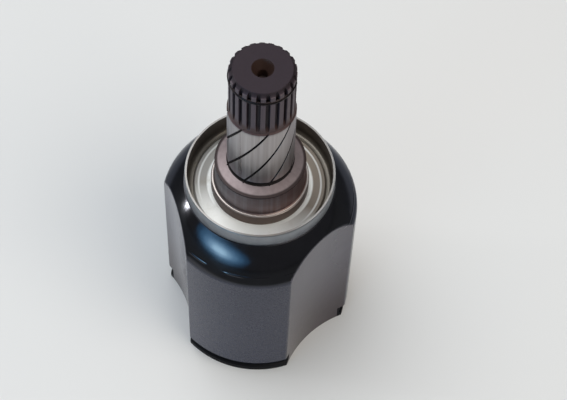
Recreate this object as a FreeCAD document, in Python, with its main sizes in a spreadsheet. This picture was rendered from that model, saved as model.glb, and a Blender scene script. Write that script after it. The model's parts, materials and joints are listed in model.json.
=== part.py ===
"""Inboard constant-velocity joint of a front-drive axle: tulip housing with its splined stub, dust
shield, circlip and stop ring, and inside it a tripod on three angularly adjusting roller cassettes.

Frame: millimetres, +Z up along the stub, origin on the axis in the plane of the housing's mouth.
Lobe 1 of the housing points to -Y; lobes 2 and 3 follow anticlockwise at 120 and 240 degrees.
"""

import FreeCAD, Part
import math
import os
from types import SimpleNamespace

import Sketcher

DRIVING_SIZES = {
    # tulip housing, from the mouth up to the crown
    "body_radius": 38.8,
    "boot_lip_step": 0.9,
    "boot_lip_height": 2.4,
    "boot_groove_depth": 1.9,
    "boot_seat_height": 7.6,
    "boot_seat_chamfer": 0.5,
    "wall_height": 74.0,
    "corner_radius": 10.0,
    "corner_turn": 25.0,
    "crown_height": 91.0,
    "crown_land": 0.4,
    "lobe_half_angle": 32.5,
    "flute_depth_mouth": 8.2,
    "flute_depth_crown": 5.2,
    "flute_edge_round": 1.6,
    "edge_break": 0.3,
    # the three roller tracks inside it
    "track_clearance": 0.3,
    "track_floor_gap": 1.5,
    "track_corner_radius": 2.5,
    "web_nose_radius": 8.0,
    "track_depth": 78.0,
    "roof_cone_depth": 4.0,
    "roof_cone_radius": 15.0,
    # stub: neck, seal land, bearing journal, spline, circlip groove, centre hole
    "neck_radius": 18.95,
    "neck_length": 7.0,
    "seal_radius": 17.5,
    "seal_length": 11.8,
    "seal_foot_round": 1.0,
    "lead_in_height": 1.6,
    "undercut_depth": 0.75,
    "undercut_width": 1.2,
    "journal_radius": 12.75,
    "journal_length": 34.6,
    "oil_groove_count": 8,
    "oil_groove_width": 1.5,
    "oil_groove_depth": 0.5,
    "oil_groove_twist": 2.505,
    "oil_groove_phase": 28.3,
    "spline_teeth": 22,
    "spline_tip_radius": 12.25,
    "spline_tooth_depth": 1.15,
    "spline_gap_root": 0.95,
    "spline_gap_tip": 1.75,
    "spline_phase": 7.3,
    "spline_length": 23.6,
    "spline_run_out": 4.8,
    "end_chamfer_width": 1.5,
    "end_chamfer_height": 1.6,
    "clip_groove_from_end": 4.6,
    "clip_wire_radius": 0.85,
    "clip_groove_depth": 1.35,
    "clip_opening_angle": 30.0,
    "centre_hole_radius": 1.95,
    "centre_cone_radius": 4.1,
    "centre_cone_depth": 3.7,
    "centre_hole_depth": 7.5,
    # pressed dust shield
    "shield_radius": 29.1,
    "shield_sheet": 0.9,
    "shield_height": 10.0,
    "shield_recess_depth": 3.3,
    "shield_joggle": 0.8,
    "shield_channel_width": 2.6,
    "shield_bend_radius": 1.6,
    "shield_lip": 0.5,
    "shield_fit": 0.05,
    # stop ring at the mouth
    "stop_wire_radius": 0.9,
    "stop_wire_bite": 0.2,
    "stop_ring_height": 5.5,
    "stop_ring_opening": 6.0,
    "stop_groove_clearance": 0.1,
    # tripod and roller cassettes
    "pitch_radius": 23.5,
    "hub_radius": 16.0,
    "hub_height": 20.0,
    "hub_chamfer": 2.5,
    "hub_bore_radius": 11.2,
    "hub_spline_teeth": 24,
    "hub_spline_depth": 0.9,
    "hub_spline_gap": 1.5,
    "trunnion_radius": 6.8,
    "ball_radius": 8.5,
    "ball_end": 5.0,
    "ball_clearance": 0.15,
    "inner_ring_radius": 10.35,
    "needle_radius": 0.9,
    "needle_clearance": 0.3,
    "needle_gap": 0.2,
    "washer_thickness": 0.8,
    "washer_gap": 0.25,
    "washer_inset": 0.3,
    "roller_radius": 15.5,
    "roller_width": 11.0,
    "roller_chamfer": 1.2,
    "roller_crown_radius": 60.0,
    "ring_chamfer": 0.4,
}

LOBE_ANGLES = (-90.0, 30.0, 150.0)
HALF_SECTOR = 60.0
BEYOND = 8.0  # how far a cutting tool reaches past the surface that it opens


class Size:
    """A number together with the spreadsheet expression that it comes from."""

    def __init__(self, value, text):
        self.value = float(value)
        self.text = text

    def join(self, sign, other, value):
        return Size(value, f"({self.text} {sign} {other.text})")

    def __add__(self, other):
        other = as_size(other)
        return self.join("+", other, self.value + other.value)

    def __sub__(self, other):
        other = as_size(other)
        return self.join("-", other, self.value - other.value)

    def __mul__(self, other):
        other = as_size(other)
        return self.join("*", other, self.value * other.value)

    def __truediv__(self, other):
        other = as_size(other)
        return self.join("/", other, self.value / other.value)

    def __radd__(self, other):
        return as_size(other) + self

    def __rsub__(self, other):
        return as_size(other) - self

    def __rtruediv__(self, other):
        return as_size(other) / self

    def __rmul__(self, other):
        return as_size(other) * self

    def __neg__(self):
        return as_size(0) - self


def as_size(number):
    return number if isinstance(number, Size) else Size(number, f"({float(number):.9f})")


def root(size):
    return Size(math.sqrt(size.value), f"sqrt({size.text})")


def magnitude(size):
    return Size(abs(size.value), f"abs({size.text})")


def whole(size):
    return Size(math.floor(size.value), f"floor({size.text})")


def cosine(size):
    return Size(math.cos(math.radians(size.value)), f"cos({size.text})")


def sine(size):
    return Size(math.sin(math.radians(size.value)), f"sin({size.text})")


def turned(across, up, angle):
    """The point (across, up) turned about the origin by a fixed angle in degrees."""
    c = math.cos(math.radians(angle))
    s = math.sin(math.radians(angle))
    return across * c - up * s, across * s + up * c


def write_sheet(doc):
    sheet = doc.addObject("Spreadsheet::Sheet", "Sizes")
    sheet.Label = "driving dimensions"
    for row, (name, number) in enumerate(DRIVING_SIZES.items(), start=1):
        sheet.set(f"A{row}", name)
        sheet.set(f"B{row}", str(number))
        sheet.setAlias(f"B{row}", name)
    doc.recompute()
    return SimpleNamespace(
        **{name: Size(sheet.get(name), f"Sizes.{name}") for name in DRIVING_SIZES}
    )


def new_body(doc, name):
    body = doc.addObject("PartDesign::Body", name)
    body.Label = name
    return body


def origin_part(body, role):
    return next(item for item in body.Origin.OriginFeatures if item.Role == role)


def new_sketch(body, name, plane, lift=None, turn=0.0):
    """A sketch on one of the body's own planes, raised by lift and turned about its upright."""
    sketch = body.newObject("Sketcher::SketchObject", name)
    sketch.AttachmentSupport = [(origin_part(body, plane), "")]
    sketch.MapMode = "FlatFace"
    upright = FreeCAD.Vector(0, 0, 1) if plane == "XY_Plane" else FreeCAD.Vector(0, 1, 0)
    sketch.AttachmentOffset = FreeCAD.Placement(
        FreeCAD.Vector(0, 0, 0), FreeCAD.Rotation(upright, turn)
    )
    if lift is not None:
        sketch.setExpression("AttachmentOffset.Base.z", lift.text)
    return sketch


def fix_point(sketch, geometry, end, across, up):
    for kind, size in (("DistanceX", across), ("DistanceY", up)):
        index = sketch.addConstraint(Sketcher.Constraint(kind, geometry, end, size.value))
        if "Sizes." in size.text:
            sketch.setExpression(f"Constraints[{index}]", size.text)


def fix_radius(sketch, geometry, radius):
    index = sketch.addConstraint(Sketcher.Constraint("Radius", geometry, radius.value))
    sketch.setExpression(f"Constraints[{index}]", radius.text)


def arc_between(start, end, radius, turn):
    """The short arc from start to end that turns left or right, as Part geometry."""
    chord = end - start
    reach = math.sqrt(max(radius**2 - (chord.Length / 2) ** 2, 0.0))
    side = FreeCAD.Vector(-chord.y, chord.x, 0).normalize() * reach
    centre = (start + end) / 2 + (side if turn == "left" else -side)
    first, last = (start, end) if turn == "left" else (end, start)
    angles = [math.atan2(point.y - centre.y, point.x - centre.x) for point in (first, last)]
    circle = Part.Circle(centre, FreeCAD.Vector(0, 0, 1), radius)
    return Part.ArcOfCircle(circle, angles[0], angles[1])


def draw(sketch, steps, closed=True):
    """Draw an outline. A step is a point (across, up), or (turn, radius) for an arc to the next."""
    points = []
    bends = {}
    for step in steps:
        if step[0] in ("left", "right"):
            bends[len(points) - 1] = (step[0], as_size(step[1]))
        else:
            points.append((as_size(step[0]), as_size(step[1])))
    count = len(points) if closed else len(points) - 1
    places = [FreeCAD.Vector(across.value, up.value, 0) for across, up in points]
    starts = []
    for index in range(count):
        start = places[index]
        end = places[(index + 1) % len(places)]
        if index in bends:
            turn, radius = bends[index]
            sketch.addGeometry(arc_between(start, end, radius.value, turn))
            starts.append(1 if turn == "left" else 2)
        else:
            sketch.addGeometry(Part.LineSegment(start, end))
            starts.append(1)
    for index in range(count):
        following = (index + 1) % count
        if closed or following:
            joint = (index, 3 - starts[index], following, starts[following])
            sketch.addConstraint(Sketcher.Constraint("Coincident", *joint))
        fix_point(sketch, index, starts[index], *points[index])
        if index in bends:
            fix_radius(sketch, index, bends[index][1])
    if not closed:
        fix_point(sketch, count - 1, 3 - starts[-1], *points[-1])
    return sketch


def draw_circle(sketch, across, up, radius):
    centre = FreeCAD.Vector(as_size(across).value, as_size(up).value, 0)
    sketch.addGeometry(Part.Circle(centre, FreeCAD.Vector(0, 0, 1), radius.value))
    fix_point(sketch, 0, 3, as_size(across), as_size(up))
    fix_radius(sketch, 0, radius)
    return sketch


def draw_axis(sketch, index, ends):
    """Add a construction line between two points, which a revolved cut can turn about."""
    places = [FreeCAD.Vector(across.value, up.value, 0) for across, up in ends]
    sketch.addGeometry(Part.LineSegment(*places), True)
    for end, place in enumerate(ends, start=1):
        fix_point(sketch, index, end, *place)


def revolve(body, kind, name, sketch, axis="V_Axis", angle=360.0):
    """Turn a sketch into a Revolution or a Groove about one of its own axes."""
    feature = body.newObject(f"PartDesign::{kind}", name)
    feature.Profile = sketch
    feature.ReferenceAxis = (sketch, [axis])
    feature.Angle = angle
    return feature


def pocket(body, name, sketch, depth, upward=False):
    feature = body.newObject("PartDesign::Pocket", name)
    feature.Profile = sketch
    feature.Reversed = upward
    feature.setExpression("Length", depth.text)
    return feature


def around(body, name, features, count):
    """Repeat features evenly about the body's Z axis."""
    pattern = body.newObject("PartDesign::PolarPattern", name)
    pattern.Originals = features
    pattern.Axis = (origin_part(body, "Z_Axis"), [""])
    pattern.Angle = 360
    pattern.Occurrences = round(as_size(count).value)
    if isinstance(count, Size):
        pattern.setExpression("Occurrences", count.text)
    body.Tip = pattern
    return pattern


def track_half_width(s):
    return s.roller_radius + s.track_clearance


def track_floor(s):
    return s.pitch_radius + s.roller_width / 2 + s.track_floor_gap


def cavity_outline(s, grow=as_size(0)):
    """Three roller tracks joined by rounded webs, with every wall moved outwards by grow."""
    half = track_half_width(s) + grow
    floor = track_floor(s) + grow
    corner = s.track_corner_radius + grow
    nose = s.web_nose_radius - grow
    nose_start = (nose + half) / math.tan(math.radians(HALF_SECTOR))
    steps = []
    for angle in LOBE_ANGLES:
        steps.append(turned(nose_start, -half, angle))
        steps.append(turned(floor - corner, -half, angle))
        steps.append(("left", corner))
        steps.append(turned(floor, corner - half, angle))
        steps.append(turned(floor, half - corner, angle))
        steps.append(("left", corner))
        steps.append(turned(floor - corner, half, angle))
        steps.append(turned(nose_start, half, angle))
        steps.append(("right", nose))
    return steps


def heights(s):
    """Heights along the stub, each worked out from the lengths below it."""
    recess = s.crown_height - s.shield_recess_depth
    neck_top = recess + s.neck_length
    seal_top = neck_top + s.seal_length
    journal_foot = seal_top + s.lead_in_height
    journal_top = journal_foot + s.journal_length
    total = journal_top + s.spline_length
    return SimpleNamespace(
        recess=recess,
        neck_top=neck_top,
        seal_top=seal_top,
        journal_foot=journal_foot,
        journal_top=journal_top,
        total=total,
        clip=total - s.clip_groove_from_end,
        tripod=(s.track_depth + s.stop_ring_height + s.stop_wire_radius) / 2,
    )


def crown_radius(s):
    return s.shield_radius + s.shield_fit + s.crown_land


def shoulder_steps(s):
    """The wall's rounded top corner and the flatter dome from there to the crown's edge."""
    corner = (
        s.body_radius - s.corner_radius * (1 - cosine(s.corner_turn)),
        s.wall_height + s.corner_radius * sine(s.corner_turn),
    )
    inward = corner[0] - crown_radius(s)
    rise = s.crown_height - corner[1]
    # the dome's half turn is its chord's lean less the corner's turn; a steeper chord hollows it
    across = inward * cosine(s.corner_turn) - rise * sine(s.corner_turn)
    bend = "left" if across.value > 0 else "right"
    dome_radius = magnitude((inward * inward + rise * rise) / (2 * across))
    return [
        (s.body_radius, s.wall_height),
        ("left", s.corner_radius),
        corner,
        (bend, dome_radius),
        (crown_radius(s), s.crown_height),
    ]


def turn_forging(body, s, z):
    """The housing and its stub as one turned blank."""
    chamfer = s.edge_break
    clip_half_width = s.clip_wire_radius + s.shield_fit
    undercut = s.journal_radius - s.undercut_depth
    clip_floor = s.spline_tip_radius - s.clip_groove_depth
    relief = s.journal_radius - s.spline_tip_radius
    steps = [
        (0, 0),
        (s.body_radius, 0),
        *shoulder_steps(s),
        (s.shield_radius + s.shield_fit, s.crown_height),
        (s.shield_radius + s.shield_fit, z.recess),
        (s.neck_radius, z.recess),
        (s.neck_radius, z.neck_top - chamfer),
        (s.neck_radius - chamfer, z.neck_top),
        (s.seal_radius + s.seal_foot_round, z.neck_top),
        ("right", s.seal_foot_round),
        (s.seal_radius, z.neck_top + s.seal_foot_round),
        (s.seal_radius, z.seal_top),
        (s.journal_radius, z.journal_foot - chamfer),
        (undercut, z.journal_foot),
        (undercut, z.journal_foot + s.undercut_width),
        (s.journal_radius, z.journal_foot + s.undercut_width + chamfer),
        (s.journal_radius, z.journal_top - relief),
        (s.spline_tip_radius, z.journal_top),
        (s.spline_tip_radius, z.clip - clip_half_width),
        (clip_floor, z.clip - clip_half_width),
        (clip_floor, z.clip + clip_half_width),
        (s.spline_tip_radius, z.clip + clip_half_width),
        (s.spline_tip_radius, z.total - s.end_chamfer_height),
        (s.spline_tip_radius - s.end_chamfer_width, z.total),
        (s.centre_cone_radius, z.total),
        (s.centre_hole_radius, z.total - s.centre_cone_depth),
        (s.centre_hole_radius, z.total - s.centre_hole_depth),
        (0, z.total - s.centre_hole_depth - s.centre_hole_radius / 2),
    ]
    sketch = draw(new_sketch(body, "forging_profile", "XZ_Plane"), steps)
    return revolve(body, "Revolution", "forging", sketch)


def cut_flutes(body, s):
    """Three shallow flutes between the lobes, deeper at the mouth than at the crown."""
    flute_half_angle = HALF_SECTOR - s.lobe_half_angle
    chord = s.body_radius * cosine(flute_half_angle)
    half_chord = s.body_radius * sine(flute_half_angle)
    reach = half_chord + BEYOND
    outside = s.body_radius + BEYOND
    angle = LOBE_ANGLES[0] + HALF_SECTOR
    sketches = []
    for name, floor, lift in (
        ("flute_at_mouth", s.body_radius - s.flute_depth_mouth, as_size(0)),
        ("flute_at_crown", s.body_radius - s.flute_depth_crown, s.crown_height),
    ):
        rise = chord - floor
        radius = (half_chord * half_chord + rise * rise) / (2 * rise)
        edge = floor + radius - root(radius * radius - reach * reach)
        steps = [
            turned(edge, reach, angle),
            ("left", radius),
            turned(edge, -reach, angle),
            turned(outside, -reach, angle),
            turned(outside, reach, angle),
        ]
        sketches.append(draw(new_sketch(body, name, "XY_Plane", lift), steps))
    flute = body.newObject("PartDesign::SubtractiveLoft", "flute")
    flute.Profile = sketches[0]
    flute.Sections = [sketches[1]]
    flute.Ruled = True
    return around(body, "flutes", [flute], len(LOBE_ANGLES))


def round_flute_edges(body, s):
    """Round the upright edges where the flutes meet the lobes."""
    body.Document.recompute()
    base = body.Tip
    names = []
    for index, edge in enumerate(base.Shape.Edges, start=1):
        box = edge.BoundBox
        radii = [math.hypot(v.Point.x, v.Point.y) for v in edge.Vertexes]
        on_wall = all(abs(radius - s.body_radius.value) < 0.01 for radius in radii)
        if on_wall and len(radii) == 2 and box.ZLength > s.wall_height.value / 2:
            names.append(f"Edge{index}")
    fillet = body.newObject("PartDesign::Fillet", "flute_edges")
    fillet.Base = (base, names)
    fillet.setExpression("Radius", s.flute_edge_round.text)
    body.Tip = fillet
    return fillet


def cut_boot_seat(body, s):
    """The stepped seat that the boot's bead and clamp sit on."""
    outside = s.body_radius + BEYOND
    lip = s.body_radius - s.boot_lip_step
    groove = s.body_radius - s.boot_groove_depth
    chamfer = s.boot_seat_chamfer
    steps = [
        (lip, -BEYOND),
        (outside, -BEYOND),
        (outside, s.boot_seat_height + chamfer),
        (s.body_radius, s.boot_seat_height + chamfer),
        (s.body_radius - chamfer, s.boot_seat_height),
        (groove, s.boot_seat_height),
        (groove, s.boot_lip_height + chamfer),
        (lip, s.boot_lip_height),
    ]
    sketch = draw(new_sketch(body, "boot_seat_profile", "XZ_Plane"), steps)
    return revolve(body, "Groove", "boot_seat", sketch)


def cut_cavity(body, s):
    outline = draw(new_sketch(body, "track_outline", "XY_Plane"), cavity_outline(s))
    pocket(body, "tracks", outline, s.track_depth, upward=True)
    steps = [
        (0, s.track_depth - BEYOND),
        (s.roof_cone_radius, s.track_depth - BEYOND),
        (s.roof_cone_radius, s.track_depth),
        (0, s.track_depth + s.roof_cone_depth),
    ]
    cone = draw(new_sketch(body, "roof_cone_profile", "XZ_Plane"), steps)
    return revolve(body, "Groove", "roof_cone", cone)


def ring_path(body, s, name, opening=None):
    """Path of the stop ring, from the middle of lobe 1's track floor round to the same place."""
    steps = cavity_outline(s, s.stop_wire_bite)
    floor = track_floor(s) + s.stop_wire_bite
    half_opening = opening / 2 if opening is not None else as_size(0)
    start = turned(floor, half_opening, LOBE_ANGLES[0])
    end = turned(floor, -half_opening, LOBE_ANGLES[0])
    path = [start] + steps[4:] + steps[:4]
    sketch = new_sketch(body, name, "XY_Plane", s.stop_ring_height)
    if opening is None:
        return draw(sketch, path)
    return draw(sketch, path + [end], closed=False)


def ring_section(body, s, name, radius, opening=None):
    floor = track_floor(s) + s.stop_wire_bite
    lift = opening / 2 if opening is not None else None
    sketch = new_sketch(body, name, "YZ_Plane", lift)
    return draw_circle(sketch, -floor, s.stop_ring_height, radius)


def cut_stop_groove(body, s):
    groove = body.newObject("PartDesign::SubtractivePipe", "stop_ring_groove")
    radius = s.stop_wire_radius + s.stop_groove_clearance
    groove.Profile = ring_section(body, s, "stop_groove_section", radius)
    groove.Spine = ring_path(body, s, "stop_groove_path")
    return groove


def cut_spline(body, s, z):
    """Hobbed tooth gaps: a straight run, then the curve where the hob lifts out."""
    root_radius = s.spline_tip_radius - s.spline_tooth_depth
    outside = s.spline_tip_radius + s.spline_tooth_depth
    flare = s.spline_gap_tip + (s.spline_gap_tip - s.spline_gap_root)
    angle = LOBE_ANGLES[0] + s.spline_phase.value
    steps = [
        turned(root_radius, -s.spline_gap_root / 2, angle),
        turned(outside, -flare / 2, angle),
        turned(outside, flare / 2, angle),
        turned(root_radius, s.spline_gap_root / 2, angle),
    ]
    sketch = draw(new_sketch(body, "tooth_gap", "XY_Plane", z.total), steps)
    gap = pocket(body, "tooth_gap_cut", sketch, s.spline_length - s.spline_run_out)

    depth = s.journal_radius - root_radius
    hob_radius = (s.spline_run_out * s.spline_run_out + depth * depth) / (2 * depth)
    hob_centre = root_radius + hob_radius
    lift = z.journal_top + s.spline_run_out
    sketch = draw(new_sketch(body, "hob_section", "XY_Plane", lift), steps)
    half_axis = s.spline_tooth_depth
    ends = [turned(hob_centre, half_axis, angle), turned(hob_centre, -half_axis, angle)]
    draw_axis(sketch, len(steps), ends)
    run_out = revolve(body, "Groove", "hob_run_out", sketch, "Axis0")
    run_out.setExpression("Angle", f"asin({(s.spline_run_out / hob_radius).text})")
    return around(body, "spline", [gap, run_out], s.spline_teeth)


def cut_oil_grooves(body, s, z):
    """Narrow right-handed helical grooves in the bearing journal, open at both of its ends."""
    floor = s.journal_radius - s.oil_groove_depth
    outside = s.journal_radius + s.oil_groove_depth
    start = z.journal_foot
    steps = [
        (floor, start - s.oil_groove_width / 4),
        (outside, start - s.oil_groove_width),
        (outside, start + s.oil_groove_width),
        (floor, start + s.oil_groove_width / 4),
    ]
    count = round(s.oil_groove_count.value)
    for number in range(count):
        turn = s.oil_groove_phase.value + number * 360 / count
        section = new_sketch(body, f"oil_groove_section_{number + 1}", "XZ_Plane", turn=turn)
        groove = body.newObject("PartDesign::SubtractiveHelix", f"oil_groove_{number + 1}")
        groove.Profile = draw(section, steps)
        groove.ReferenceAxis = (section, ["V_Axis"])
        groove.Mode = 0
        groove.Angle = 0
        groove.setExpression("Pitch", (360 / s.oil_groove_twist).text)
        groove.setExpression("Height", (s.journal_length + s.undercut_width / 2).text)


def make_housing(doc, s, z):
    body = new_body(doc, "tulip_housing")
    turn_forging(body, s, z)
    cut_oil_grooves(body, s, z)
    cut_flutes(body, s)
    round_flute_edges(body, s)
    cut_boot_seat(body, s)
    cut_cavity(body, s)
    cut_stop_groove(body, s)
    cut_spline(body, s, z)
    return body


def make_dust_shield(doc, s, z):
    """Pressed steel cup on the neck: a raised floor, a channel round it and an upright rim."""
    body = new_body(doc, "dust_shield")
    low = z.recess
    sheet = s.shield_sheet
    outer = s.shield_radius
    inner = outer - sheet
    top = low + s.shield_height
    bend = s.shield_bend_radius
    channel = inner - s.shield_channel_width
    step = channel - s.shield_joggle
    steps = [
        (s.neck_radius, low + s.shield_joggle),
        (step, low + s.shield_joggle),
        (channel, low),
        (outer - bend - sheet, low),
        ("left", bend + sheet),
        (outer, low + bend + sheet),
        (outer, top - s.shield_lip),
        (outer - sheet / 4, top),
        (inner, top),
        (inner, low + sheet + bend),
        ("right", bend),
        (inner - bend, low + sheet),
        (channel + sheet / 2, low + sheet),
        (step + sheet / 2, low + sheet + s.shield_joggle),
        (s.neck_radius, low + sheet + s.shield_joggle),
    ]
    sketch = draw(new_sketch(body, "shield_profile", "XZ_Plane"), steps)
    revolve(body, "Revolution", "pressing", sketch)
    return body


def make_circlip(doc, s, z):
    body = new_body(doc, "stub_circlip")
    centre = s.spline_tip_radius - s.clip_groove_depth + s.clip_wire_radius
    sketch = new_sketch(body, "clip_wire", "XZ_Plane", turn=s.clip_opening_angle.value)
    draw_circle(sketch, centre, z.clip, s.clip_wire_radius)
    ring = revolve(body, "Revolution", "ring", sketch)
    ring.setExpression("Angle", (360 - s.clip_opening_angle).text)
    return body


def make_stop_ring(doc, s):
    body = new_body(doc, "stop_ring")
    wire = body.newObject("PartDesign::AdditivePipe", "wire")
    opening = s.stop_ring_opening
    wire.Profile = ring_section(body, s, "wire_section", s.stop_wire_radius, opening)
    wire.Spine = ring_path(body, s, "wire_path", opening)
    return body


def make_spider(doc, s, z):
    """Tripod: a splined hub with three ball-ended trunnions."""
    body = new_body(doc, "tripod_spider")
    half = s.hub_height / 2
    shoulder = s.hub_radius - s.hub_chamfer
    hub = [
        (0, -half),
        (shoulder, -half),
        (s.hub_radius, s.hub_chamfer - half),
        (s.hub_radius, half - s.hub_chamfer),
        (shoulder, half),
        (0, half),
    ]
    revolve(body, "Revolution", "hub", draw(new_sketch(body, "hub_profile", "XZ_Plane"), hub))
    neck_end = root(s.ball_radius * s.ball_radius - s.trunnion_radius * s.trunnion_radius)
    tip_radius = root(s.ball_radius * s.ball_radius - s.ball_end * s.ball_end)
    trunnion = [
        (-s.hub_bore_radius, 0),
        (-s.hub_bore_radius, s.trunnion_radius),
        (neck_end - s.pitch_radius, s.trunnion_radius),
        (-s.pitch_radius, s.ball_radius),
        (-s.pitch_radius - s.ball_end, tip_radius),
        (-s.pitch_radius - s.ball_end, 0),
    ]
    trunnion.insert(3, ("left", s.ball_radius))
    trunnion.insert(5, ("left", s.ball_radius))
    sketch = draw(new_sketch(body, "trunnion_profile", "YZ_Plane"), trunnion)
    arm = revolve(body, "Revolution", "trunnion", sketch, axis="H_Axis")
    around(body, "trunnions", [arm], len(LOBE_ANGLES))
    bore = draw_circle(new_sketch(body, "bore", "XY_Plane", half), 0, 0, s.hub_bore_radius)
    pocket(body, "bore_cut", bore, s.hub_height)
    gap_root = s.hub_bore_radius + s.hub_spline_depth
    gap = [
        (0, -s.hub_spline_gap / 2),
        (gap_root, -s.hub_spline_gap / 2),
        (gap_root, s.hub_spline_gap / 2),
        (0, s.hub_spline_gap / 2),
    ]
    sketch = draw(new_sketch(body, "hub_tooth_gap", "XY_Plane", half), gap)
    cut = pocket(body, "hub_tooth_gap_cut", sketch, s.hub_height)
    around(body, "hub_spline", [cut], s.hub_spline_teeth)
    body.setExpression("Placement.Base.z", z.tripod.text)
    return body


def seat_on_trunnion(body, s, z, angle):
    """Put a body whose own axis is Z on the trunnion that points along angle."""
    radial = FreeCAD.Vector(math.cos(math.radians(angle)), math.sin(math.radians(angle)), 0)
    body.Placement.Rotation = FreeCAD.Rotation(FreeCAD.Vector(0, 0, 1), radial)
    body.setExpression("Placement.Base.x", (s.pitch_radius * radial.x).text)
    body.setExpression("Placement.Base.y", (s.pitch_radius * radial.y).text)
    body.setExpression("Placement.Base.z", z.tripod.text)
    return body


def roller_bore(s):
    return s.inner_ring_radius + 2 * (s.needle_radius + s.needle_clearance)


def make_roller(doc, s, name):
    """Outer roller: crowned on the outside, plain bore for the needles."""
    body = new_body(doc, name)
    half = s.roller_width / 2
    flat = half - s.roller_chamfer
    crown = s.roller_crown_radius
    edge = s.roller_radius - crown + root(crown * crown - flat * flat)
    steps = [
        (roller_bore(s), -half),
        (edge - s.roller_chamfer, -half),
        (edge, -flat),
        ("left", crown),
        (edge, flat),
        (edge - s.roller_chamfer, half),
        (roller_bore(s), half),
    ]
    revolve(body, "Revolution", "roller", draw(new_sketch(body, "profile", "XZ_Plane"), steps))
    return body


def make_inner_ring(doc, s, name):
    """Inner ring: the ball of the trunnion slides and tilts in its plain bore."""
    body = new_body(doc, name)
    half = s.roller_width / 2
    bore = s.ball_radius + s.ball_clearance
    steps = [
        (bore + s.ring_chamfer, -half),
        (s.inner_ring_radius, -half),
        (s.inner_ring_radius, half),
        (bore + s.ring_chamfer, half),
        (bore, half - s.ring_chamfer),
        (bore, s.ring_chamfer - half),
    ]
    revolve(body, "Revolution", "ring", draw(new_sketch(body, "profile", "XZ_Plane"), steps))
    return body


def make_washer(doc, s, name, side):
    """Retaining washer pressed on the inner ring; side is +1 outboard or -1 towards the hub."""
    body = new_body(doc, name)
    far = side * (s.roller_width / 2 - s.washer_inset)
    near = side * (s.roller_width / 2 - s.washer_inset - s.washer_thickness)
    rim = roller_bore(s) - s.washer_gap
    steps = [(s.inner_ring_radius, near), (rim, near), (rim, far), (s.inner_ring_radius, far)]
    revolve(body, "Revolution", "washer", draw(new_sketch(body, "profile", "XZ_Plane"), steps))
    return body


def make_needles(doc, s, name):
    """A full row of needle rollers between the inner ring and the roller."""
    body = new_body(doc, name)
    body.AllowCompound = True
    circle = s.inner_ring_radius + s.needle_clearance + s.needle_radius
    half = s.roller_width / 2 - s.washer_inset - s.washer_thickness - s.needle_clearance
    sketch = new_sketch(body, "needle_section", "XY_Plane", -half)
    draw_circle(sketch, circle, 0, s.needle_radius)
    needle = body.newObject("PartDesign::Pad", "needle")
    needle.Profile = sketch
    needle.setExpression("Length", (2 * half).text)
    spacing = 2 * s.needle_radius + s.needle_gap
    around(body, "needle_row", [needle], whole(2 * math.pi * circle / spacing))
    return body


def make_cassette(doc, s, z, number, angle):
    pieces = [
        make_roller(doc, s, f"roller_{number}"),
        make_needles(doc, s, f"needle_rollers_{number}"),
        make_inner_ring(doc, s, f"inner_ring_{number}"),
        make_washer(doc, s, f"outer_washer_{number}", 1),
        make_washer(doc, s, f"inner_washer_{number}", -1),
    ]
    return [seat_on_trunnion(piece, s, z, angle) for piece in pieces]


def check(doc, bodies):
    for item in doc.Objects:
        if "Invalid" in item.State or "Error" in item.State:
            raise RuntimeError(f"{item.Label} failed: {item.State}")
    for body in bodies:
        if body.Shape.isNull() or not body.Shape.isValid():
            raise RuntimeError(f"{body.Label} has no valid shape")


def main():
    doc = FreeCAD.newDocument("tripod_joint")
    s = write_sheet(doc)
    z = heights(s)
    bodies = [
        make_housing(doc, s, z),
        make_dust_shield(doc, s, z),
        make_circlip(doc, s, z),
        make_stop_ring(doc, s),
        make_spider(doc, s, z),
    ]
    for number, angle in enumerate(LOBE_ANGLES, start=1):
        bodies += make_cassette(doc, s, z, number, angle)
    doc.recompute()
    check(doc, bodies)
    os.makedirs("parts", exist_ok=True)
    for body in bodies:
        body.Shape.exportStep(f"parts/{body.Label}.step")
        print(body.Label, len(body.Shape.Solids), round(body.Shape.Volume, 1))


main()
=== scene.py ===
import json
import math

import bpy
from mathutils import Matrix, Vector

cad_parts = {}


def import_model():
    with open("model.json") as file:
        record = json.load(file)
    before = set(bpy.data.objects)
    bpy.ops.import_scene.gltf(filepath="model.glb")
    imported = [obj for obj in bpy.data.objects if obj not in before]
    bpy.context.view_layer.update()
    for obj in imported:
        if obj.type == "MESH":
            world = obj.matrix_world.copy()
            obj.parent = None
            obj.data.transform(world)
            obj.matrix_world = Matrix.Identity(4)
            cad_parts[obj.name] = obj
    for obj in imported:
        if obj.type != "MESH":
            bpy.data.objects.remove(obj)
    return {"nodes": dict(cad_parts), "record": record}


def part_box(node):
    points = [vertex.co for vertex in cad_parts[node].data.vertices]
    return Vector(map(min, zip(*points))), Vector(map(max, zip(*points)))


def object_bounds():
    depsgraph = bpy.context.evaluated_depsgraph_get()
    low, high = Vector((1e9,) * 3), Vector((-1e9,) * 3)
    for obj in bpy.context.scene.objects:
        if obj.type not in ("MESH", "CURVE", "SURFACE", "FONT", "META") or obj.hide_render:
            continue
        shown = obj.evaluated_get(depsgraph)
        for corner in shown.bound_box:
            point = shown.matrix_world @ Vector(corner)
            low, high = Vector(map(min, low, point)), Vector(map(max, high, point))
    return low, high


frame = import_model()
MM = 0.001
CAD_LOW, CAD_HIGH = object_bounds()
MOUNTS = {mount["name"]: mount for mount in frame["record"]["mounts"]}


def mount_height(name, end):
    """Height of one end of a turned seat: end is -1 for its foot and 1 for its top."""
    mount = MOUNTS[name]
    return mount["pos_m"][2] + end * mount["dims"]["length_mm"] * MM / 2


def mount_radius(name):
    return MOUNTS[name]["dims"]["r_mm"] * MM


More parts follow.
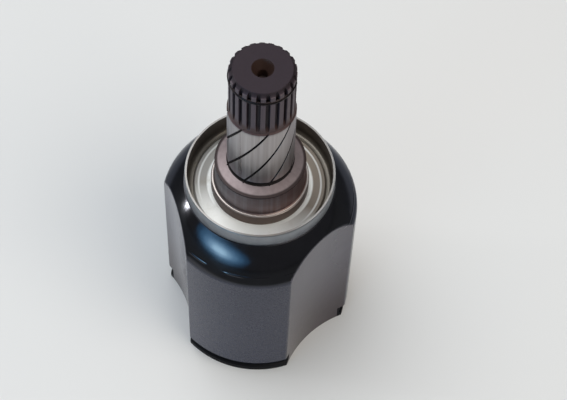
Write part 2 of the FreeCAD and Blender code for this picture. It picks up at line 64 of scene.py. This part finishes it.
# Heights and radii of the turned seats, from the record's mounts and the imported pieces.
COLLAR_FOOT = mount_height("seal_land", -1)
COLLAR_EDGE = mount_height("seal_land", 1)
COLLAR_RADIUS = mount_radius("seal_land")
JOURNAL_FOOT = mount_height("bearing_journal", -1)
JOURNAL_TOP = mount_height("bearing_journal", 1)
JOURNAL_RADIUS = mount_radius("bearing_journal")
SPLINE_RADIUS = mount_radius("stub_spline")
SHIELD_LOW, SHIELD_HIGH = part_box("dust_shield")
CLIP_LOW, CLIP_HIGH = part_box("stub_circlip")
TOTAL_HEIGHT = CAD_HIGH.z
BODY_RADIUS = CAD_HIGH.x

# Forms of the housing that no mount measures.
BOOT_SEAT_HEIGHT = 7.6 * MM
FLUTE_BOTTOM_RADIUS = 29.4 * MM
WALL_TOP = 74 * MM
CORNER_TOP = 78.2 * MM
CAVITY_TOP = 89.2 * MM
CROWN_HEIGHT = 91.0 * MM
NECK_RADIUS = 18.95 * MM
NECK_TOP = 94.7 * MM
CENTRE_HOLE_RADIUS = 4.1 * MM
CENTRE_HOLE_DEPTH = 12 * MM

# The camera's direction from the object in degrees, its distance, its lens and the point it looks at:
# how far right of the axis, how far up the picture and how high on the axis.
CAMERA_AZIMUTH = 11.5
CAMERA_ELEVATION = 59.206
CAMERA_ROLL = 2.855
CAMERA_DISTANCE = 0.69135
CAMERA_LENS = 110.07
AIM_RIGHT, AIM_UP, AIM_HEIGHT = 0.00952, 0.004627, 0.0679


class Finish:
    """One material being built: its shader, the piece's own coordinates and short calls that add nodes."""

    def __init__(self, name):
        self.material = bpy.data.materials.new(name)
        self.material.use_nodes = True
        self.tree = self.material.node_tree
        self.shader = self.tree.nodes["Principled BSDF"]
        coordinates = self.add("ShaderNodeTexCoord")
        self.place = coordinates.outputs["Object"]
        self.normal = coordinates.outputs["Normal"]
        self.x, self.y, self.z = self.add("ShaderNodeSeparateXYZ", self.place).outputs
        self.spoke = self.add("ShaderNodeCombineXYZ", self.x, self.y).outputs[0]
        length = self.add("ShaderNodeVectorMath", self.spoke)
        length.operation = "LENGTH"
        self.radius = length.outputs["Value"]
        self.relief = None

    def add(self, kind, *values):
        """Adds a node and feeds its first inputs with links or numbers."""
        node = self.tree.nodes.new(kind)
        for socket, value in zip(node.inputs, values):
            self.feed(socket, value)
        return node

    def feed(self, socket, value):
        """Links a socket to another node, or sets its colour or number."""
        if isinstance(value, bpy.types.NodeSocket):
            self.tree.links.new(value, socket)
        elif isinstance(value, tuple) and socket.type == "RGBA":
            socket.default_value = (*value, 1)
        else:
            socket.default_value = value

    def math(self, operation, first, second=0.0):
        node = self.add("ShaderNodeMath", first, second)
        node.operation = operation
        return node.outputs[0]

    def above(self, value, edge):
        return self.math("GREATER_THAN", value, edge)

    def below(self, value, edge):
        return self.math("LESS_THAN", value, edge)

    def overlap(self, mask, *others):
        """1 where every mask is 1."""
        for other in others:
            mask = self.math("MULTIPLY", mask, other)
        return mask

    def inverse(self, mask):
        return self.math("SUBTRACT", 1.0, mask)

    def step(self, value, edge, width=0.1 * MM):
        """0 below the edge and 1 above it, with a soft change of the given width."""
        node = self.add("ShaderNodeMapRange", value, edge - width / 2, edge + width / 2)
        node.interpolation_type = "SMOOTHSTEP"
        return node.outputs[0]

    def between(self, value, low, high, width=0.1 * MM):
        """1 from low to high, with soft ends."""
        return self.math("SUBTRACT", self.step(value, low, width), self.step(value, high, width))

    def spread(self, value, low, high, start=0.0, end=1.0):
        """Maps a value from low..high to start..end, clamped."""
        return self.add("ShaderNodeMapRange", value, low, high, start, end).outputs[0]

    def mix(self, factor, first, second):
        """Blends two colours."""
        node = self.add("ShaderNodeMix")
        node.data_type = "RGBA"
        self.feed(node.inputs[0], factor)
        self.feed(node.inputs[6], first)
        self.feed(node.inputs[7], second)
        return node.outputs[2]

    def blend(self, factor, first, second):
        """Blends two numbers."""
        node = self.add("ShaderNodeMix")
        self.feed(node.inputs[0], factor)
        self.feed(node.inputs[2], first)
        self.feed(node.inputs[3], second)
        return node.outputs[0]

    def noise(self, per_metre, detail=3.0, along=(1, 1, 1)):
        """Cloudy noise in the piece's own coordinates; a small share in along stretches it that way."""
        stretch = self.add("ShaderNodeMapping", self.place)
        stretch.inputs["Scale"].default_value = along
        node = self.add("ShaderNodeTexNoise", stretch.outputs[0])
        node.inputs["Scale"].default_value = per_metre
        node.inputs["Detail"].default_value = detail
        node.inputs["Roughness"].default_value = 0.55
        return node.outputs["Fac"]

    def bump(self, height, distance, strength=1.0):
        """Adds relief on top of the relief that is there already."""
        node = self.add("ShaderNodeBump")
        node.inputs["Strength"].default_value = strength
        node.inputs["Distance"].default_value = distance
        self.feed(node.inputs["Height"], height)
        if self.relief is not None:
            self.feed(node.inputs["Normal"], self.relief)
        self.relief = node.outputs[0]
        self.feed(self.shader.inputs["Normal"], self.relief)

    def set(self, **values):
        """Feeds shader sockets, named with underscores for spaces."""
        for name, value in values.items():
            self.feed(self.shader.inputs[name.replace("_", " ")], value)


class Layers:
    """Stacks surface zones: each has a mask, a colour, a metal share and a roughness."""

    def __init__(self, finish, colour, metal, roughness):
        self.finish = finish
        self.colour = colour
        self.metal = metal
        self.roughness = roughness

    def lay(self, mask, colour, metal, roughness, share=1.0):
        """Lays one zone over the others; a share below 1 lets them show through."""
        finish = self.finish
        if share < 1:
            mask = finish.math("MULTIPLY", mask, share)
        self.colour = finish.mix(mask, self.colour, colour)
        self.metal = finish.blend(mask, self.metal, metal)
        self.roughness = finish.blend(mask, self.roughness, roughness)

    def apply(self):
        self.finish.set(Base_Color=self.colour, Metallic=self.metal, Roughness=self.roughness)


def lay_paint(f, zones, mottle, fine):
    """Satin paint on the lobes, flutes painted lighter and red-brown low down as a painted reflection, and
    a near-black boot seat that is painted shade.
    """
    wall = f.inverse(f.step(f.z, WALL_TOP + 1.5 * MM, 3 * MM))
    satin = f.mix(mottle, (0.021, 0.022, 0.040), (0.029, 0.030, 0.052))
    zones.lay(wall, satin, 0.0, f.spread(fine, 0.3, 0.7, 0.24, 0.32))

    facing_up = f.add("ShaderNodeSeparateXYZ", f.normal).outputs["Z"]
    cut_back = f.below(f.radius, BODY_RADIUS - 0.3 * MM)
    flute = f.overlap(f.below(facing_up, 0.2), cut_back, f.above(f.radius, FLUTE_BOTTOM_RADIUS))
    # Painted reflection: the flute colour is raised to stand in for the pale floor it mirrors, and turns
    # red-brown towards the bottom for the warm shadow it mirrors.
    painted_floor_reflection = f.mix(mottle, (0.062, 0.054, 0.074), (0.080, 0.070, 0.094))
    flute_painted_reflection = f.mix(f.spread(f.z, 15 * MM, 60 * MM), (0.032, 0.017, 0.022), painted_floor_reflection)
    zones.lay(flute, flute_painted_reflection, 0.0, f.spread(fine, 0.3, 0.7, 0.13, 0.19))

    # Painted shade: the boot seat on the lobes is near black, standing in for the dark band of shade at
    # the mouth.
    seat = f.inverse(f.step(f.z, BOOT_SEAT_HEIGHT, 0.8 * MM))
    lobes = f.above(f.radius, BODY_RADIUS - 2.4 * MM)
    zones.lay(f.overlap(seat, lobes), (0.005, 0.005, 0.006), 0.6, 0.5)


def lay_cavity(f, zones, mottle, fine):
    """Oiled bare steel on the tracks and roof, which face the axis or down, and a clean-cut mouth."""
    outward = f.add("ShaderNodeVectorMath", f.normal, f.spoke)
    outward.operation = "DOT_PRODUCT"
    inner = f.overlap(f.below(outward.outputs["Value"], 0.1 * MM), f.below(f.z, CAVITY_TOP))
    oiled = f.mix(mottle, (0.16, 0.145, 0.13), (0.27, 0.25, 0.23))
    zones.lay(inner, oiled, 1.0, f.spread(fine, 0.3, 0.7, 0.28, 0.42))
    mouth = f.below(f.z, 0.05 * MM)
    zones.lay(mouth, (0.32, 0.31, 0.30), 1.0, 0.34)


def lay_neck(f, zones, stain):
    """Brown forged skin between the crown and the seal land."""
    neck = f.overlap(f.step(f.z, CROWN_HEIGHT - 2.5 * MM), f.below(f.radius, NECK_RADIUS + 0.5 * MM))
    brown = f.mix(stain, (0.105, 0.077, 0.067), (0.19, 0.145, 0.125))
    zones.lay(neck, brown, 0.7, f.spread(stain, 0.3, 0.7, 0.36, 0.5))


def lay_seal_land(f, zones, stain, streaks, right_shade):
    """The ground seal land, its scuffed lead-in, the dark line at its edge and the neck's bright lip."""
    collar = f.overlap(f.step(f.z, COLLAR_FOOT - 0.8 * MM), f.below(f.radius, NECK_RADIUS - 0.5 * MM))
    # The ground steel turns darker and browner where a real stain lies and, as painted shade, towards the
    # right side.
    stain_and_right_shade = f.spread(f.math("ADD", stain, right_shade), 0.6, 1.4)
    ground = f.mix(stain_and_right_shade, (0.30, 0.27, 0.275), (0.25, 0.165, 0.16))
    ground = f.mix(f.spread(streaks, 0.5, 0.8, 0.0, 0.45), ground, (0.42, 0.40, 0.40))
    zones.lay(collar, ground, 0.85, f.spread(stain, 0.3, 0.7, 0.34, 0.46))

    lead_in = f.step(f.z, COLLAR_EDGE + 0.1 * MM)
    scuffed = f.mix(f.noise(420, 4), (0.18, 0.145, 0.147), (0.32, 0.27, 0.273))
    zones.lay(lead_in, scuffed, 0.8, f.spread(stain, 0.3, 0.7, 0.4, 0.5))

    edge_line = f.between(f.z, COLLAR_EDGE - 0.7 * MM, COLLAR_EDGE + 0.3 * MM, 0.2 * MM)
    zones.lay(edge_line, (0.028, 0.018, 0.017), 0.4, 0.5, share=0.92)

    lip = f.between(f.z, NECK_TOP - 0.25 * MM, NECK_TOP + 0.1 * MM)
    lip = f.overlap(lip, f.step(f.radius, NECK_RADIUS - 0.9 * MM))
    zones.lay(lip, (0.44, 0.40, 0.38), 0.9, 0.34)


def lay_journal(f, zones, streaks, right_shade):
    """The ground bearing journal, darker and browner on its right side as painted shade, with its oil
    grooves and the line at its foot painted near black as shade.
    """
    polished = f.mix(f.spread(streaks, 0.3, 0.75), (0.37, 0.345, 0.34), (0.62, 0.60, 0.595))
    # Painted shade: the right side of the journal is darkened and browned.
    polished = f.mix(f.math("MULTIPLY", right_shade, 0.35), polished, (0.38, 0.30, 0.285))
    zones.lay(f.step(f.z, JOURNAL_FOOT), polished, 0.9, f.spread(streaks, 0.3, 0.7, 0.26, 0.38))

    # Painted shade: the oil grooves below the journal's surface are painted near black.
    in_groove = f.below(f.radius, JOURNAL_RADIUS - 0.03 * MM)
    groove = f.overlap(f.between(f.z, JOURNAL_FOOT, JOURNAL_TOP), in_groove)
    zones.lay(groove, (0.010, 0.006, 0.005), 0.3, 0.6)

    # Painted shade: the undercut at the journal's foot is painted as a near-black line.
    foot_line = f.between(f.z, COLLAR_EDGE + 0.6 * MM, JOURNAL_FOOT + 0.2 * MM)
    foot_line = f.overlap(foot_line, f.below(f.radius, JOURNAL_RADIUS + 0.25 * MM))
    zones.lay(foot_line, (0.010, 0.007, 0.006), 0.3, 0.6)


def lay_spline(f, zones):
    """The phosphated spline: worn crests, roots and clip groove darkened as painted shade, rust at its
    foot, and centre hole.
    """
    spline = f.step(f.z, JOURNAL_TOP - 0.1 * MM)
    grit = f.noise(2600, 2)
    phosphate = f.mix(f.noise(260, 4), (0.022, 0.014, 0.019), (0.038, 0.027, 0.034))
    phosphate = f.mix(f.spread(grit, 0.35, 0.75, 0.0, 0.3), phosphate, (0.062, 0.050, 0.058))
    zones.lay(spline, phosphate, 0.25, f.spread(grit, 0.3, 0.7, 0.42, 0.56))

    end_face = f.above(f.z, TOTAL_HEIGHT - 0.1 * MM)
    zones.lay(end_face, (0.026, 0.017, 0.023), 0.2, 0.5, share=0.6)

    toothed = f.overlap(spline, f.below(f.z, TOTAL_HEIGHT - 0.2 * MM))
    crest = f.overlap(toothed, f.step(f.radius, SPLINE_RADIUS - 0.25 * MM, 0.4 * MM))
    zones.lay(crest, (0.175, 0.135, 0.148), 0.5, 0.4, share=0.6)
    # Painted shade: the tooth roots are darkened.
    deep = f.inverse(f.step(f.radius, SPLINE_RADIUS - 0.75 * MM, 0.5 * MM))
    root = f.overlap(toothed, deep, f.above(f.radius, SPLINE_RADIUS - 1.6 * MM))
    zones.lay(root, (0.016, 0.010, 0.012), 0.2, 0.55, share=0.6)

    rust = f.between(f.z, JOURNAL_TOP - 0.4 * MM, JOURNAL_TOP + 3.6 * MM, 2.4 * MM)
    zones.lay(rust, (0.075, 0.038, 0.027), 0.2, 0.5, share=0.65)

    # Painted shade: the clip groove between the teeth is painted near black.
    clip_groove = f.overlap(f.between(f.z, CLIP_LOW.z - 0.1 * MM, CLIP_HIGH.z + 0.1 * MM), deep)
    zones.lay(clip_groove, (0.004, 0.003, 0.003), 0.0, 0.6)

    near_end = f.step(f.z, TOTAL_HEIGHT - CENTRE_HOLE_DEPTH)
    hole = f.overlap(near_end, f.below(f.radius, CENTRE_HOLE_RADIUS))
    zones.lay(hole, (0.040, 0.022, 0.017), 0.2, 0.5)


def raise_shoulder_ridge(f):
    """The broken bright ridge where the shoulder meets the lobes."""
    ridge = f.between(f.z, CORNER_TOP + 1.1 * MM, CORNER_TOP + 1.7 * MM, 0.5 * MM)
    nicks = f.spread(f.noise(90, 1, (1, 1, 0.3)), 0.4, 0.6)
    on_lobes = f.step(f.radius, BODY_RADIUS - 2.8 * MM)
    f.bump(f.overlap(ridge, on_lobes, nicks), 0.14 * MM)


def housing_finish():
    """The tulip's zones: gloss black paint, oiled steel inside, ground seats and a phosphated spline."""
    f = Finish("painted_forging")
    mottle = f.noise(160, 4)
    fine = f.noise(1500, 3)
    stain = f.noise(90, 4, (1, 1, 2.5))
    streaks = f.noise(700, 3, (1, 1, 0.02))
    # Runs from 0 on the left to 1 on the right: the seal land and journal use it for painted shade on the
    # right side, away from the key light.
    right_shade = f.spread(f.x, -COLLAR_RADIUS, COLLAR_RADIUS)

    # Baked enamel: its gloss comes from a dark metallic base, whose tint dulls it at a glancing angle.
    enamel = f.mix(mottle, (0.046, 0.047, 0.052), (0.066, 0.066, 0.073))
    f.set(IOR=1.5, Specular_Tint=(0.46, 0.47, 0.50))
    zones = Layers(f, enamel, 1.0, f.spread(mottle, 0.3, 0.7, 0.11, 0.15))
    lay_paint(f, zones, mottle, fine)
    lay_cavity(f, zones, mottle, fine)
    lay_neck(f, zones, stain)
    lay_seal_land(f, zones, stain, streaks, right_shade)
    lay_journal(f, zones, streaks, right_shade)
    lay_spline(f, zones)
    zones.apply()

    raise_shoulder_ridge(f)
    f.bump(f.noise(900, 3), 0.01 * MM, 0.25)
    f.bump(f.math("MULTIPLY", streaks, f.step(f.z, JOURNAL_FOOT)), 0.01 * MM, 0.4)
    return f.material


def shield_finish():
    """Zinc-plated pressing: pale and faintly green on the flats, darkened by painted shade away from the
    front, and darker and browner up the inner wall.
    """
    f = Finish("shield_steel")
    cloud = f.noise(70, 4)
    grain = f.noise(1800, 2)
    # Runs from 0 on the left to 1 on the right, for painted shade that is deeper on the right.
    right_shade = f.spread(f.x, -14 * MM, 14 * MM)

    plate = f.mix(cloud, (0.72, 0.75, 0.74), (0.84, 0.86, 0.85))
    zones = Layers(f, plate, 0.25, f.spread(grain, 0.3, 0.7, 0.34, 0.44))
    # Painted light and shade on the floor: it stays pale at the front, near the neck and along a thin
    # ring, a painted highlight on the raised floor's edge; elsewhere it is darkened, and browner to the
    # right, as painted shade.
    lit_front = f.spread(f.math("DIVIDE", f.y, f.radius), -0.25, -0.85)
    near_neck = f.inverse(f.step(f.radius, 20.6 * MM, 0.8 * MM))
    ring = f.math("MULTIPLY", f.between(f.radius, 23.4 * MM, 24.1 * MM, 0.3 * MM), 0.6)
    painted_lit_area = f.math("MAXIMUM", f.math("MAXIMUM", lit_front, near_neck), ring)
    painted_shade = f.mix(right_shade, (0.27, 0.265, 0.25), (0.20, 0.17, 0.14))
    zones.lay(f.inverse(painted_lit_area), painted_shade, 0.45, 0.42)

    channel = f.step(f.radius, SHIELD_HIGH.x - 3.2 * MM, 0.5 * MM)
    zones.lay(channel, f.mix(cloud, (0.12, 0.108, 0.092), (0.20, 0.185, 0.16)), 0.8, 0.4)
    # Painted shade: the inner wall is darker towards the right.
    inner_wall = f.overlap(channel, f.step(f.z, SHIELD_LOW.z + 3.0 * MM, 1.5 * MM))
    zones.lay(inner_wall, f.mix(right_shade, (0.16, 0.135, 0.12), (0.06, 0.048, 0.042)), 0.85, 0.36)
    outer_wall = f.above(f.radius, SHIELD_HIGH.x - 0.45 * MM)
    zones.lay(outer_wall, f.mix(f.noise(260, 4), (0.25, 0.265, 0.29), (0.42, 0.435, 0.455)), 0.9, 0.36)
    rim = f.step(f.z, SHIELD_HIGH.z - 0.2 * MM, 0.2 * MM)
    zones.lay(rim, (0.32, 0.31, 0.30), 0.9, 0.3)
    stain = f.spread(f.noise(140, 4), 0.58, 0.74)
    zones.lay(stain, (0.26, 0.22, 0.16), 0.4, 0.5, share=0.3)
    zones.apply()
    f.bump(grain, 0.01 * MM, 0.3)
    return f.material


def steel_finish(name, dark, light, roughness):
    """Bare steel with an oil film: clouded colour and fine grain."""
    f = Finish(name)
    grain = f.noise(2200, 2)
    f.set(
        Base_Color=f.mix(f.noise(150, 4), dark, light),
        Metallic=1.0,
        Roughness=f.spread(grain, 0.3, 0.7, roughness - 0.05, roughness + 0.05),
    )
    f.bump(grain, 0.008 * MM, 0.3)
    return f.material


def paint_nodes():
    """Gives each CAD node its finish; nodes of one kind share a material."""
    spring = steel_finish("spring_steel", (0.018, 0.014, 0.015), (0.034, 0.028, 0.029), 0.42)
    tripod = steel_finish("tripod_steel", (0.26, 0.25, 0.24), (0.38, 0.365, 0.35), 0.34)
    bearing = steel_finish("bearing_steel", (0.50, 0.50, 0.51), (0.64, 0.64, 0.65), 0.20)
    finishes = {
        "tulip_housing": housing_finish(),
        "dust_shield": shield_finish(),
        "stub_circlip": spring,
        "stop_ring": spring,
        "tripod_spider": tripod,
    }
    for name, node in frame["nodes"].items():
        material = finishes.get(name, bearing)
        node.data.materials.clear()
        node.data.materials.append(material)


def floor():
    """A pale floor sheet with a painted pool of light: its colour fades softly to grey past the pool's
    edges.
    """
    half = 3.0
    mesh = bpy.data.meshes.new("floor")
    corners = [(-half, -half, 0), (half, -half, 0), (half, half, 0), (-half, half, 0)]
    mesh.from_pydata(corners, [], [(0, 1, 2, 3)])
    sheet = bpy.data.objects.new("floor", mesh)
    bpy.context.scene.collection.objects.link(sheet)
    # The sheet lies squarely in the picture, a hair under the housing's mouth.
    sheet.location = (-0.8 * MM, 31.7 * MM, -0.05 * MM)
    sheet.rotation_euler.z = math.radians(CAMERA_AZIMUTH)

    # The painted pool of light is a square with round corners. It reaches this far in each direction and
    # then fades into a painted grey, where the light would fall off.
    light_pool_reach = 0.148
    light_falloff = 0.055
    corner_power = 6.0
    f = Finish("floor_sheet")
    across = f.math("POWER", f.math("ABSOLUTE", f.x), corner_power)
    along = f.math("POWER", f.math("ABSOLUTE", f.y), corner_power)
    away = f.math("POWER", f.math("ADD", across, along), 1 / corner_power)
    pale = f.mix(f.noise(5, 2), (0.725, 0.74, 0.745), (0.765, 0.772, 0.768))
    colour = f.mix(f.step(away, light_pool_reach + light_falloff / 2, light_falloff), pale, (0.20, 0.205, 0.21))
    f.set(Base_Color=colour, Roughness=1.0, Specular_IOR_Level=0.0)
    mesh.materials.append(f.material)


def camera():
    azimuth = math.radians(CAMERA_AZIMUTH)
    elevation = math.radians(CAMERA_ELEVATION)
    flat = math.cos(elevation)
    back = Vector((flat * math.sin(azimuth), -flat * math.cos(azimuth), math.sin(elevation)))
    right = Vector((math.cos(azimuth), math.sin(azimuth), 0))
    up = back.cross(right)
    aim = Vector((0, 0, AIM_HEIGHT)) + right * AIM_RIGHT + up * AIM_UP
    lens = bpy.data.cameras.new("camera")
    lens.lens = CAMERA_LENS
    lens.sensor_width = 36
    lens.clip_start = 0.01
    eye = bpy.data.objects.new("camera", lens)
    turn = Matrix((right, up, back)).transposed() @ Matrix.Rotation(math.radians(CAMERA_ROLL), 3, "Z")
    eye.matrix_world = Matrix.Translation(aim + back * CAMERA_DISTANCE) @ turn.to_4x4()
    bpy.context.scene.collection.objects.link(eye)
    bpy.context.scene.camera = eye


def softbox(name, azimuth, elevation, distance, size, power, colour=(1, 1, 1)):
    """An elliptic lamp that looks at the object from a direction given in degrees, azimuth from +X."""
    a = math.radians(azimuth)
    e = math.radians(elevation)
    way = Vector((math.cos(e) * math.cos(a), math.cos(e) * math.sin(a), math.sin(e)))
    lamp = bpy.data.lights.new(name, "AREA")
    lamp.shape = "ELLIPSE"
    lamp.size, lamp.size_y = size
    lamp.energy = power
    lamp.color = colour
    holder = bpy.data.objects.new(name, lamp)
    target = Vector((0, 0, TOTAL_HEIGHT / 2))
    holder.location = target + way * distance
    holder.rotation_euler = way.to_track_quat("Z", "Y").to_euler()
    bpy.context.scene.collection.objects.link(holder)


def window_light():
    """The window that the gloss mirrors: nested ellipses, from a deep blue edge to a white middle."""
    for ring, share in enumerate((1.0, 0.78, 0.58, 0.40, 0.24)):
        whiteness = 1 - share
        elevation = 8 - 1.5 * whiteness
        distance = 1.6 - 0.02 * ring
        size = (2.0 * share, 0.54 * share)
        colour = (0.10 + 0.8 * whiteness, 0.50 + 0.62 * whiteness, 1.0)
        softbox(f"window_{ring}", -117, elevation, distance, size, 2.6 * share, colour)


def lights():
    softbox("key", 155, 66, 1.6, (1.4, 1.4), 13, (0.98, 0.99, 1.0))
    softbox("fill", -25, 50, 1.7, (1.2, 1.2), 11.5, (1.0, 0.90, 0.78))
    window_light()
    softbox("lamp_left", -173, 2.6, 1.5, (0.17, 0.15), 5)


def world():
    """A dim room: darker at the horizon, brighter overhead."""
    room = bpy.data.worlds.new("room")
    room.use_nodes = True
    tree = room.node_tree
    place = tree.nodes.new("ShaderNodeTexCoord")
    split = tree.nodes.new("ShaderNodeSeparateXYZ")
    ramp = tree.nodes.new("ShaderNodeValToRGB")
    tree.links.new(place.outputs["Generated"], split.inputs[0])
    tree.links.new(split.outputs["Z"], ramp.inputs[0])
    tree.links.new(ramp.outputs[0], tree.nodes["Background"].inputs["Color"])
    horizon, overhead = ramp.color_ramp.elements
    horizon.position = 0.45
    horizon.color = (0.17, 0.17, 0.18, 1)
    overhead.position = 1.0
    overhead.color = (0.62, 0.63, 0.64, 1)
    bpy.context.scene.world = room


paint_nodes()
floor()
camera()
lights()
world()
bpy.context.scene.view_settings.view_transform = "Standard"
